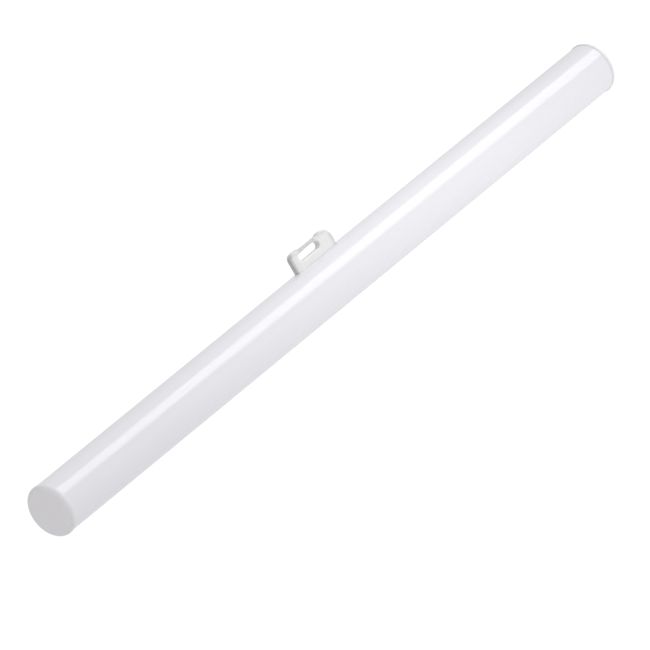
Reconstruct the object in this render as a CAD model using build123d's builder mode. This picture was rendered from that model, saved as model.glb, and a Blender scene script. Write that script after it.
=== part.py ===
from build123d import *
import os

# Linear tube lamp with one lamp cap in the middle of its length. Millimetres, +Z up.
# The origin is on the tube's crown, where the lamp cap leaves the tube. The tube runs along X.

# Whole lamp
lamp_length = 500.0
tube_diameter = 30.0
tube_wall = 1.5

# End caps: a rim outside the tube and a spigot inside it
rim_land = 0.5
rim_edge_radius = 3.0
rim_proud = 0.3
spigot_length = 8.0
spigot_clearance = 0.1
socket_run_out = 0.5

# Lamp cap: a slab that stands up from the crown, with a foot set into the tube
cap_length = 35.0
cap_thickness = 4.6
cap_height = 11.1
left_corner_radius = 3.5
right_corner_radius = 6.5
cap_edge_chamfer = 0.9
foot_depth = 4.0
pocket_clearance = 0.05

# Ears: each has a flat top past its rounded corner, then a ramp down to the latch bar
left_ear_top = 4.6
right_ear_top = 2.0
ear_ramp_length = 2.2
ear_blend_radius = 3.0

# Latch bar between the ears, with a neck at each end, and the slot under it
bar_drop = 0.8
bar_height = 1.7
bar_depth = 2.6
bar_edge_radius = 0.5
neck_length = 2.5
slot_depth = 6.8
left_slot_reach = 4.65
right_slot_setback = 0.75
slot_edge_chamfer = 0.5

# Contact strips: bent metal, let into the lamp cap's ends and part of the way over its top corners
contact_width = 2.6
contact_thickness = 0.4
contact_proud = 0.1
contact_wrap = 60.0
groove_clearance = 0.05

# Worked out from the driving dimensions
tube_radius = tube_diameter / 2
rim_length = rim_land + rim_edge_radius
tube_length = lamp_length - 2 * rim_length
bore_radius = tube_radius - tube_wall
rim_radius = tube_radius + rim_proud
spigot_radius = bore_radius - spigot_clearance
half_cap = cap_length / 2
bar_top = cap_height - bar_drop
dip_start = -half_cap + left_corner_radius + left_ear_top + ear_ramp_length
dip_end = half_cap - right_corner_radius - right_ear_top - ear_ramp_length
dip_length = dip_end - dip_start
bar_bottom = bar_top - bar_height
slot_start = dip_start - left_slot_reach
slot_end = dip_end - right_slot_setback
slot_length = slot_end - slot_start
slot_middle = (slot_start + slot_end) / 2
slot_height = slot_depth - bar_drop - bar_height
slot_level = bar_bottom - slot_height / 2
ends = {"left": -1, "right": 1}
corner_radius = {"left": left_corner_radius, "right": right_corner_radius}


def tube_end(side):
    """The plane of the tube's end face, which looks outwards."""
    return Plane((side * tube_length / 2, 0, -tube_radius), x_dir=(0, side, 0), z_dir=(side, 0, 0))


def cap_end(side):
    """The lamp cap's middle plane, with its local x towards one end and its local y upwards."""
    return Plane((0, 0, 0), x_dir=(side, 0, 0), z_dir=(0, -side, 0))


def end_path(radius, outwards):
    """Up the lamp cap's end and part of the way over its corner, moved outwards from its surface."""
    bend_level = cap_height - radius
    rise = Line((half_cap + outwards, -foot_depth), (half_cap + outwards, bend_level))
    bend = CenterArc((half_cap - radius, bend_level), radius + outwards, 0, contact_wrap)
    return rise, bend


def strip_section(radius):
    """The outline of a contact strip's section, along a lamp cap's end with this corner radius."""
    with BuildLine() as section:
        inner_rise, inner_bend = end_path(radius, contact_proud - contact_thickness)
        outer_rise, outer_bend = end_path(radius, contact_proud)
        Line(inner_rise @ 0, outer_rise @ 0)
        Line(inner_bend @ 1, outer_bend @ 1)
    return section.edges()


os.makedirs("parts", exist_ok=True)

# Opal tube: closed and filled, with a socket in each end and a pocket in its crown for the cap's foot
with BuildPart() as opal_tube:
    with BuildSketch(Plane.YZ):
        with Locations((0, -tube_radius)):
            Circle(tube_radius)
    extrude(amount=tube_length / 2, both=True)
    for side in ends.values():
        with BuildSketch(tube_end(side)):
            Circle(bore_radius)
        extrude(amount=-(spigot_length + socket_run_out), mode=Mode.SUBTRACT)
    with BuildSketch(Plane.XY.offset(-foot_depth)) as pocket:
        Rectangle(
            cap_length + 2 * (contact_proud + pocket_clearance),
            cap_thickness + 2 * pocket_clearance,
        )
        chamfer(pocket.vertices(), cap_edge_chamfer)
    extrude(amount=foot_depth, mode=Mode.SUBTRACT)
opal_tube.part.label = "opal_tube"
export_step(opal_tube.part, "parts/opal_tube.step")

# End caps: a flat disc with a rounded rim, and a spigot that seats in the tube
for name, side in ends.items():
    with BuildPart() as end_cap:
        with BuildSketch(tube_end(side)):
            Circle(rim_radius)
        extrude(amount=rim_length)
        fillet(end_cap.edges().sort_by(Axis.X)[-1 if side > 0 else 0], rim_edge_radius)
        with BuildSketch(tube_end(side)):
            Circle(spigot_radius)
        extrude(amount=-spigot_length)
    end_cap.part.label = f"end_cap_{name}"
    export_step(end_cap.part, f"parts/end_cap_{name}.step")

# Lamp cap: one moulding, with two ears joined by a thin latch bar over a through slot
with BuildPart() as lamp_cap:
    with BuildSketch(Plane.XZ) as outline:
        with Locations((0, -foot_depth)):
            Rectangle(cap_length, cap_height + foot_depth, align=(Align.CENTER, Align.MIN))
        fillet(outline.vertices().group_by(Axis.Y)[-1].sort_by(Axis.X)[0], left_corner_radius)
        fillet(outline.vertices().group_by(Axis.Y)[-1].sort_by(Axis.X)[-1], right_corner_radius)
        with BuildLine():
            Polyline(
                (dip_start - ear_ramp_length, cap_height),
                (dip_start, bar_top),
                (dip_end, bar_top),
                (dip_end + ear_ramp_length, cap_height),
                close=True,
            )
        make_face(mode=Mode.SUBTRACT)
        fillet(outline.vertices().group_by(Axis.Y)[-2], ear_blend_radius)
        fillet(outline.vertices().group_by(Axis.Y)[-1].sort_by(Axis.X)[1:-1], ear_blend_radius)
    extrude(amount=cap_thickness / 2, both=True)
    broad_edges = lamp_cap.faces().filter_by(Axis.Y).edges()
    chamfer(broad_edges - broad_edges.group_by(Axis.Z)[0], cap_edge_chamfer)
    with BuildSketch(Plane.XZ):
        with Locations((slot_middle, slot_level)):
            SlotOverall(slot_length, slot_height)
    extrude(amount=cap_thickness / 2, both=True, mode=Mode.SUBTRACT)
    chamfer(lamp_cap.edges(Select.LAST).filter_by(Axis.Y, reverse=True), slot_edge_chamfer)
    with BuildSketch(Plane.XY.offset(slot_level)):
        with BuildLine():
            Polyline(
                (dip_start, cap_thickness / 2),
                (dip_start + neck_length, bar_depth / 2),
                (dip_start + neck_length, -bar_depth / 2),
                (dip_start, -cap_thickness / 2),
                (slot_end, -cap_thickness / 2),
                (slot_end - neck_length, -bar_depth / 2),
                (slot_end - neck_length, bar_depth / 2),
                (slot_end, cap_thickness / 2),
                close=True,
            )
        make_face()
    extrude(amount=cap_height - slot_level, mode=Mode.SUBTRACT)
    with BuildSketch(Plane.YZ.offset(dip_start)):
        with Locations((0, (bar_bottom + bar_top) / 2)):
            RectangleRounded(bar_depth, bar_height, bar_edge_radius)
    extrude(amount=dip_length)
    for name, side in ends.items():
        with BuildSketch(cap_end(side)):
            make_face(strip_section(corner_radius[name]))
        extrude(amount=contact_width / 2 + groove_clearance, both=True, mode=Mode.SUBTRACT)
lamp_cap.part.label = "lamp_cap"
export_step(lamp_cap.part, "parts/lamp_cap.step")

# Contact strips: bent metal along the lamp cap's ends
for name, side in ends.items():
    with BuildPart() as contact:
        with BuildSketch(cap_end(side)):
            make_face(strip_section(corner_radius[name]))
        extrude(amount=contact_width / 2, both=True)
    contact.part.label = f"contact_{name}"
    export_step(contact.part, f"parts/contact_{name}.step")
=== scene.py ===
import math

import bmesh
import bpy
from mathutils import Matrix, Vector


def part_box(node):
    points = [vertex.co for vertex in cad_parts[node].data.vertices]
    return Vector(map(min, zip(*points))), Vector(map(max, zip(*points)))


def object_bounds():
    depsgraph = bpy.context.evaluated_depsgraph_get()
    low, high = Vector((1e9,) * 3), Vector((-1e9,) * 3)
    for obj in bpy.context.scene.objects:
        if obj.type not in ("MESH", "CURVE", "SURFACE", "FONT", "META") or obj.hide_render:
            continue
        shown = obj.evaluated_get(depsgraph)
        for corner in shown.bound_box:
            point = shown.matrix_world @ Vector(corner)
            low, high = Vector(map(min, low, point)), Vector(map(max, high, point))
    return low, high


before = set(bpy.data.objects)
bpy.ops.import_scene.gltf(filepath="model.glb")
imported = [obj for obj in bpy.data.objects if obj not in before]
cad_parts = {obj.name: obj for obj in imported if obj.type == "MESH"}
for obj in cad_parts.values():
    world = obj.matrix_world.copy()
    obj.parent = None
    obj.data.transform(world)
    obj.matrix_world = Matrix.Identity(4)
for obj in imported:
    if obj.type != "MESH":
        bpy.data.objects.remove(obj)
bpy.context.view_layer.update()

# Picture: a square frame, with the lens as long as the photograph's flat perspective asks
PICTURE_PIXELS = 650
FOCAL_PIXELS = 9600
SENSOR_WIDTH_MM = 36.0

# Camera: where it stands round the point that the middle of the picture shows, in metres and degrees
AIM_POINT = Vector((-0.01261, 0.00652, -0.03305))
CAMERA_AZIMUTH = -41.215
CAMERA_ELEVATION = 10.472
CAMERA_DISTANCE = 5.175
CAMERA_ROLL = 30.417

# Floor: white, well below the hanging lamp, with a glow that comes up from the front to the back
FLOOR_DROP = 0.30
FLOOR_HALF_WIDTH = 40.0
FLOOR_WHITE = (0.8, 0.8, 0.8, 1.0)
FLOOR_NO_GLOW = (0.0, 0.0, 0.0, 1.0)
FLOOR_GLOW = (0.42, 0.42, 0.42, 1.0)
TOWARDS_BACK = (0.65, 0.76, 0.0)
GLOW_START = -0.30
GLOW_END = 0.20

# Dome: white, and brighter towards the right end and the front
DOME_WHITE = (1.0, 1.0, 1.0, 1.0)
DOME_STRENGTH = 0.80
DOME_LEAN = (0.30, -0.25, 0.0)

# Strip softbox: shows only as the long reflection on the tube
STRIP_DIRECTION = Vector((0.645, -0.468, 0.604))
STRIP_DISTANCE = 2.1
STRIP_LENGTH = 0.8
STRIP_WIDTH = 1.1
STRIP_POWER = 21.3

# Fill and top softboxes: shade the lamp without a reflection, the fill more on the tube's right half
FILL_PLACE = Vector((0.12, -0.30, -0.03))
FILL_SIZE = 0.2
FILL_POWER = 0.175
TOP_PLACE = Vector((0.07, 0.02, 0.16))
TOP_SIZE = 0.1
TOP_POWER = 0.032

# Colours: the dark and the light end of each finish's faint variation, and the painted shade at its rim,
# edges and latch bar
OPAL_DARK = (0.827, 0.820, 0.861, 1.0)
OPAL_LIGHT = (0.845, 0.838, 0.879, 1.0)
END_DARK = (0.895, 0.878, 0.903, 1.0)
END_LIGHT = (0.915, 0.898, 0.923, 1.0)
# The end caps' rim colour is painted shade for their rounded rim
END_RIM_SHADE = (0.82, 0.805, 0.83, 1.0)
CAP_DARK = (0.816, 0.816, 0.814, 1.0)
CAP_LIGHT = (0.836, 0.836, 0.834, 1.0)
# The lamp cap's darker grey is painted shade for its edges and latch bar
CAP_PAINTED_SHADE = (0.59, 0.59, 0.59, 1.0)
METAL_DARK = (0.74, 0.735, 0.73, 1.0)
METAL_LIGHT = (0.82, 0.815, 0.81, 1.0)

# Roughness of each finish and how metallic the strips are, before their faint variation
OPAL_ROUGHNESS = 0.13
END_ROUGHNESS = 0.45
CAP_ROUGHNESS = 0.38
METAL_ROUGHNESS = 0.36
METAL_PLATING = 0.8

# Plastics: refraction, how strongly two of them mirror, and how light goes into the lamp cap
PLASTIC_IOR = 1.5
OPAL_MIRROR = 0.15
END_MIRROR = 0.2
CAP_TRANSLUCENCE = 0.5
CAP_LIGHT_SPREAD = (1.0, 1.0, 1.0)
CAP_LIGHT_DEPTH = 0.0015

# Patterns: how many features there are to the metre along each axis
OPAL_CLOUDS = (9.0, 30.0, 30.0)
DIE_LINES = (2.0, 700.0, 700.0)
MOULD_PATCHES = (60.0, 60.0, 60.0)
MOULD_GRAIN = (2500.0, 2500.0, 2500.0)
STRIP_LINES = (150.0, 6000.0, 150.0)
STRIP_TARNISH = (400.0, 400.0, 400.0)
PATTERN_DETAIL = 2.0
GRAIN_DETAIL = 4.0
BUMP_DEPTH = 0.0001

# Painted shade: how far in from a piece's outside each darker band starts and how far in it is full, in
# metres
RIM_SHADE_BAND = (0.0023, 0.0003)
CAP_TOP_SHADE_BAND = (0.0026, 0.0011)
CAP_LEFT_SHADE_BAND = (0.0045, 0.0007)
CAP_RIGHT_SHADE_BAND = (0.0045, 0.0020)
BAR_BELOW_TOP = (0.0024, 0.0017)
BAR_FROM_LEFT = (0.0070, 0.0085)
BAR_FROM_RIGHT = (0.0131, 0.0145)
CAP_EDGE_SHADE_SHARE = 0.55
CAP_LEFT_SHADE_SHARE = 0.3

# Sockets of a Mix node that mixes colours, by number, because several share a name
MIX_AMOUNT = 0
MIX_FIRST = 6
MIX_SECOND = 7
MIX_RESULT = 2


class Socket:
    """A shader value in a Python expression: each operator adds one Math node."""

    def __init__(self, nodes, link):
        self.nodes = nodes
        self.link = link

    def math(self, operation, *values):
        return self.nodes.node("Math", {"operation": operation}, dict(enumerate(values)))

    def __add__(self, other):
        return self.math("ADD", self, other)

    def __sub__(self, other):
        return self.math("SUBTRACT", self, other)

    def __rsub__(self, other):
        return self.math("SUBTRACT", other, self)

    def __mul__(self, other):
        return self.math("MULTIPLY", self, other)

    __radd__ = __add__
    __rmul__ = __mul__

    def ramp(self, start, end):
        """Zero up to one value, one past another and even between them."""
        limits = {"Value": self, "From Min": start, "From Max": end}
        return self.nodes.node("MapRange", {"clamp": True}, limits)


class Nodes:
    """A node tree that grows by one node at a time."""

    def __init__(self, tree):
        self.tree = tree

    def node(self, kind, settings=None, sockets=None, output=0):
        """Adds one node: its type, its settings, then the values or links of its sockets."""
        made = self.tree.nodes.new("ShaderNode" + kind)
        for key, value in (settings or {}).items():
            setattr(made, key, value)
        for key, value in (sockets or {}).items():
            self.feed(made.inputs[key], value)
        return Socket(self, made.outputs[output])

    def feed(self, target, value):
        """Links a socket to a node's input, or sets a plain value there."""
        if isinstance(value, Socket):
            self.tree.links.new(value.link, target)
        else:
            target.default_value = value

    def reach(self, place, direction):
        """How far a place lies along a direction."""
        return self.node("VectorMath", {"operation": "DOT_PRODUCT"}, {0: place, 1: direction}, "Value")


class Finish(Nodes):
    """A surface finish: one Principled shader, with nodes that read the piece's own coordinates."""

    def __init__(self, name, constants):
        self.material = bpy.data.materials.new(name)
        self.material.use_nodes = True
        super().__init__(self.material.node_tree)
        self.shader = self.tree.nodes["Principled BSDF"]
        for socket, value in constants.items():
            self.shader.inputs[socket].default_value = value
        self.place = self.node("TexCoord", output="Object")

    def along(self, axis):
        """The piece's own coordinate along an axis, in metres."""
        return self.node("SeparateXYZ", {}, {"Vector": self.place}, axis)

    def noise(self, stretch, detail=PATTERN_DETAIL):
        """Noise around zero, with so many features to the metre along each axis."""
        spread = self.node("Mapping", {"vector_type": "POINT"}, {"Vector": self.place, "Scale": stretch})
        grain = self.node("TexNoise", {}, {"Vector": spread, "Scale": 1.0, "Detail": detail}, "Fac")
        return grain - 0.5

    def blend(self, amount, first, second):
        """A colour between two colours."""
        settings = {"data_type": "RGBA", "blend_type": "MIX", "clamp_factor": True}
        colours = {MIX_AMOUNT: amount, MIX_FIRST: first, MIX_SECOND: second}
        return self.node("Mix", settings, colours, MIX_RESULT)

    def vary(self, pattern, dark, light):
        """A colour that goes between two colours with a pattern around zero."""
        return self.blend(pattern + 0.5, dark, light)

    def bump(self, height, strength):
        """A normal that follows a height."""
        heights = {"Height": height, "Strength": strength, "Distance": BUMP_DEPTH}
        return self.node("Bump", {}, heights, "Normal")

    def shade(self, **links):
        """Feeds the shader: base_color, roughness, metallic, normal or emission_color."""
        for name, value in links.items():
            self.feed(self.shader.inputs[name.replace("_", " ").title()], value)
        return self.material


def opal_plastic():
    """Extruded opal tube: cloudy white with a lavender cast, glossy, with faint lengthwise die lines."""
    finish = Finish("opal_plastic", {"IOR": PLASTIC_IOR, "Specular IOR Level": OPAL_MIRROR})
    clouds = finish.noise(OPAL_CLOUDS)
    die_lines = finish.noise(DIE_LINES)
    tone = finish.vary(2.0 * clouds, OPAL_DARK, OPAL_LIGHT)
    gloss = OPAL_ROUGHNESS + 0.05 * clouds + 0.04 * die_lines
    return finish.shade(base_color=tone, roughness=gloss, normal=finish.bump(die_lines, 0.02))


def moulding(finish, dark, light, roughness):
    """What a mould leaves on plastic: faint patches of tone and a fine grain."""
    patches = finish.noise(MOULD_PATCHES)
    grain = finish.noise(MOULD_GRAIN, GRAIN_DETAIL)
    tone = finish.vary(2.0 * patches, dark, light)
    gloss = roughness + 0.10 * grain + 0.05 * patches
    return tone, gloss, finish.bump(grain, 0.12)


def end_plastic():
    """The end caps' moulded white plastic, with painted shade round the rounded rim."""
    finish = Finish("white_end_plastic", {"IOR": PLASTIC_IOR, "Specular IOR Level": END_MIRROR})
    tone, gloss, normal = moulding(finish, END_DARK, END_LIGHT, END_ROUGHNESS)
    lowest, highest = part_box("end_cap_left")
    rim_radius = highest.y
    across = finish.along("Y")
    level = finish.along("Z") - (lowest.z + highest.z) / 2
    # Painted shade: a band round the rounded rim is darkened towards the rim colour
    limits = [(rim_radius - inset) ** 2 for inset in RIM_SHADE_BAND]
    rim = (across * across + level * level).ramp(*limits)
    tone = finish.blend(rim, tone, END_RIM_SHADE)
    return finish.shade(base_color=tone, roughness=gloss, normal=normal)


def cap_plastic():
    """The lamp cap's moulded white plastic, slightly translucent, with painted shade on its top, left and
    right edges and on its latch bar.
    """
    looks = {
        "IOR": PLASTIC_IOR,
        "Subsurface Weight": CAP_TRANSLUCENCE,
        "Subsurface Radius": CAP_LIGHT_SPREAD,
        "Subsurface Scale": CAP_LIGHT_DEPTH,
    }
    finish = Finish("white_cap_plastic", looks)
    tone, gloss, normal = moulding(finish, CAP_DARK, CAP_LIGHT, CAP_ROUGHNESS)
    lowest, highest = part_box("lamp_cap")
    below_top = highest.z - finish.along("Z")
    from_left = finish.along("X") - lowest.x
    from_right = highest.x - finish.along("X")
    # Painted shade: the top, left and right edges and the latch bar are darkened towards the grey, standing
    # in for the shade that falls there
    left_shade = CAP_LEFT_SHADE_SHARE * from_left.ramp(*CAP_LEFT_SHADE_BAND)
    edges = below_top.ramp(*CAP_TOP_SHADE_BAND) + from_right.ramp(*CAP_RIGHT_SHADE_BAND) + left_shade
    bar_span = from_left.ramp(*BAR_FROM_LEFT) * from_right.ramp(*BAR_FROM_RIGHT)
    bar = below_top.ramp(*BAR_BELOW_TOP) * bar_span
    tone = finish.blend(CAP_EDGE_SHADE_SHARE * edges + bar, tone, CAP_PAINTED_SHADE)
    return finish.shade(base_color=tone, roughness=gloss, normal=normal)


def contact_metal():
    """Plated contact strip: grey metal with lines along the strip and a little tarnish."""
    finish = Finish("contact_metal", {})
    lines = finish.noise(STRIP_LINES)
    tarnish = finish.noise(STRIP_TARNISH)
    tone = finish.vary(1.6 * tarnish + lines, METAL_DARK, METAL_LIGHT)
    gloss = METAL_ROUGHNESS + 0.18 * lines + 0.10 * tarnish
    plating = METAL_PLATING + 0.4 * tarnish
    normal = finish.bump(lines, 0.15)
    return finish.shade(base_color=tone, metallic=plating, roughness=gloss, normal=normal)


def dress_nodes():
    """Gives every node of the lamp its finish."""
    moulded_end = end_plastic()
    metal = contact_metal()
    finishes = {
        "opal_tube": opal_plastic(),
        "end_cap_left": moulded_end,
        "end_cap_right": moulded_end,
        "lamp_cap": cap_plastic(),
        "contact_left": metal,
        "contact_right": metal,
    }
    for name, material in finishes.items():
        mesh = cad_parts[name].data
        mesh.materials.clear()
        mesh.materials.append(material)


def floor_white():
    """Matt white that glows towards the back."""
    looks = {"Base Color": FLOOR_WHITE, "Roughness": 1.0, "Specular IOR Level": 0.0, "Emission Strength": 1.0}
    finish = Finish("floor_white", looks)
    amount = finish.reach(finish.place, TOWARDS_BACK).ramp(GLOW_START, GLOW_END)
    return finish.shade(emission_color=finish.blend(amount, FLOOR_NO_GLOW, FLOOR_GLOW))


def lay_floor():
    """A plain white floor, far enough below the lamp to carry no hard shadow."""
    shape = bmesh.new()
    bmesh.ops.create_grid(shape, x_segments=1, y_segments=1, size=FLOOR_HALF_WIDTH)
    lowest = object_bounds()[0].z
    bmesh.ops.translate(shape, verts=shape.verts, vec=(0.0, 0.0, lowest - FLOOR_DROP))
    mesh = bpy.data.meshes.new("floor")
    shape.to_mesh(mesh)
    shape.free()
    mesh.materials.append(floor_white())
    floor = bpy.data.objects.new("floor", mesh)
    bpy.context.scene.collection.objects.link(floor)
    floor.visible_glossy = False


def facing(back, right, location):
    """A place for a camera or a light that looks against back, with its own x axis along right."""
    axes = Matrix((right, back.cross(right), back)).transposed()
    return Matrix.Translation(location) @ axes.to_4x4()


def hang_softbox(name, place, length, width, power):
    """A rectangular softbox that looks at the origin, with its length along the lamp."""
    light = bpy.data.lights.new(name, "AREA")
    light.shape = "RECTANGLE"
    light.size = length
    light.size_y = width
    light.energy = power
    softbox = bpy.data.objects.new(name, light)
    bpy.context.scene.collection.objects.link(softbox)
    back = place.normalized()
    along = (Vector((1.0, 0.0, 0.0)) - back * back.x).normalized()
    softbox.matrix_world = facing(back, along, place)
    softbox.visible_camera = False
    return softbox


def light_studio():
    """The dome, the strip for the reflection, and the fill and the top light for the shading."""
    world = bpy.data.worlds.new("dome")
    bpy.context.scene.world = world
    world.use_nodes = True
    sky = Nodes(world.node_tree)
    dome = sky.tree.nodes["Background"]
    dome.inputs["Color"].default_value = DOME_WHITE
    lean = sky.reach(sky.node("TexCoord", output="Generated"), DOME_LEAN)
    sky.feed(dome.inputs["Strength"], lean + DOME_STRENGTH)
    strip_place = STRIP_DIRECTION.normalized() * STRIP_DISTANCE
    strip = hang_softbox("strip", strip_place, STRIP_LENGTH, STRIP_WIDTH, STRIP_POWER)
    strip.visible_diffuse = False
    fill = hang_softbox("fill", FILL_PLACE, FILL_SIZE, FILL_SIZE, FILL_POWER)
    fill.visible_glossy = False
    top = hang_softbox("top", TOP_PLACE, TOP_SIZE, TOP_SIZE, TOP_POWER)
    top.visible_glossy = False


def set_camera():
    """The photograph's view: from the left end, a little above, with the picture rolled."""
    azimuth = math.radians(CAMERA_AZIMUTH)
    elevation = math.radians(CAMERA_ELEVATION)
    level = math.cos(elevation)
    back = Vector((math.sin(azimuth) * level, -math.cos(azimuth) * level, math.sin(elevation)))
    level_right = Vector((math.cos(azimuth), math.sin(azimuth), 0.0))
    right = Matrix.Rotation(math.radians(-CAMERA_ROLL), 3, back) @ level_right
    lens = bpy.data.cameras.new("camera")
    lens.sensor_width = SENSOR_WIDTH_MM
    lens.lens = SENSOR_WIDTH_MM * FOCAL_PIXELS / PICTURE_PIXELS
    camera = bpy.data.objects.new("camera", lens)
    bpy.context.scene.collection.objects.link(camera)
    camera.matrix_world = facing(back, right, AIM_POINT + back * CAMERA_DISTANCE)
    bpy.context.scene.camera = camera
    bpy.context.scene.view_settings.view_transform = "Standard"


dress_nodes()
lay_floor()
light_studio()
set_camera()
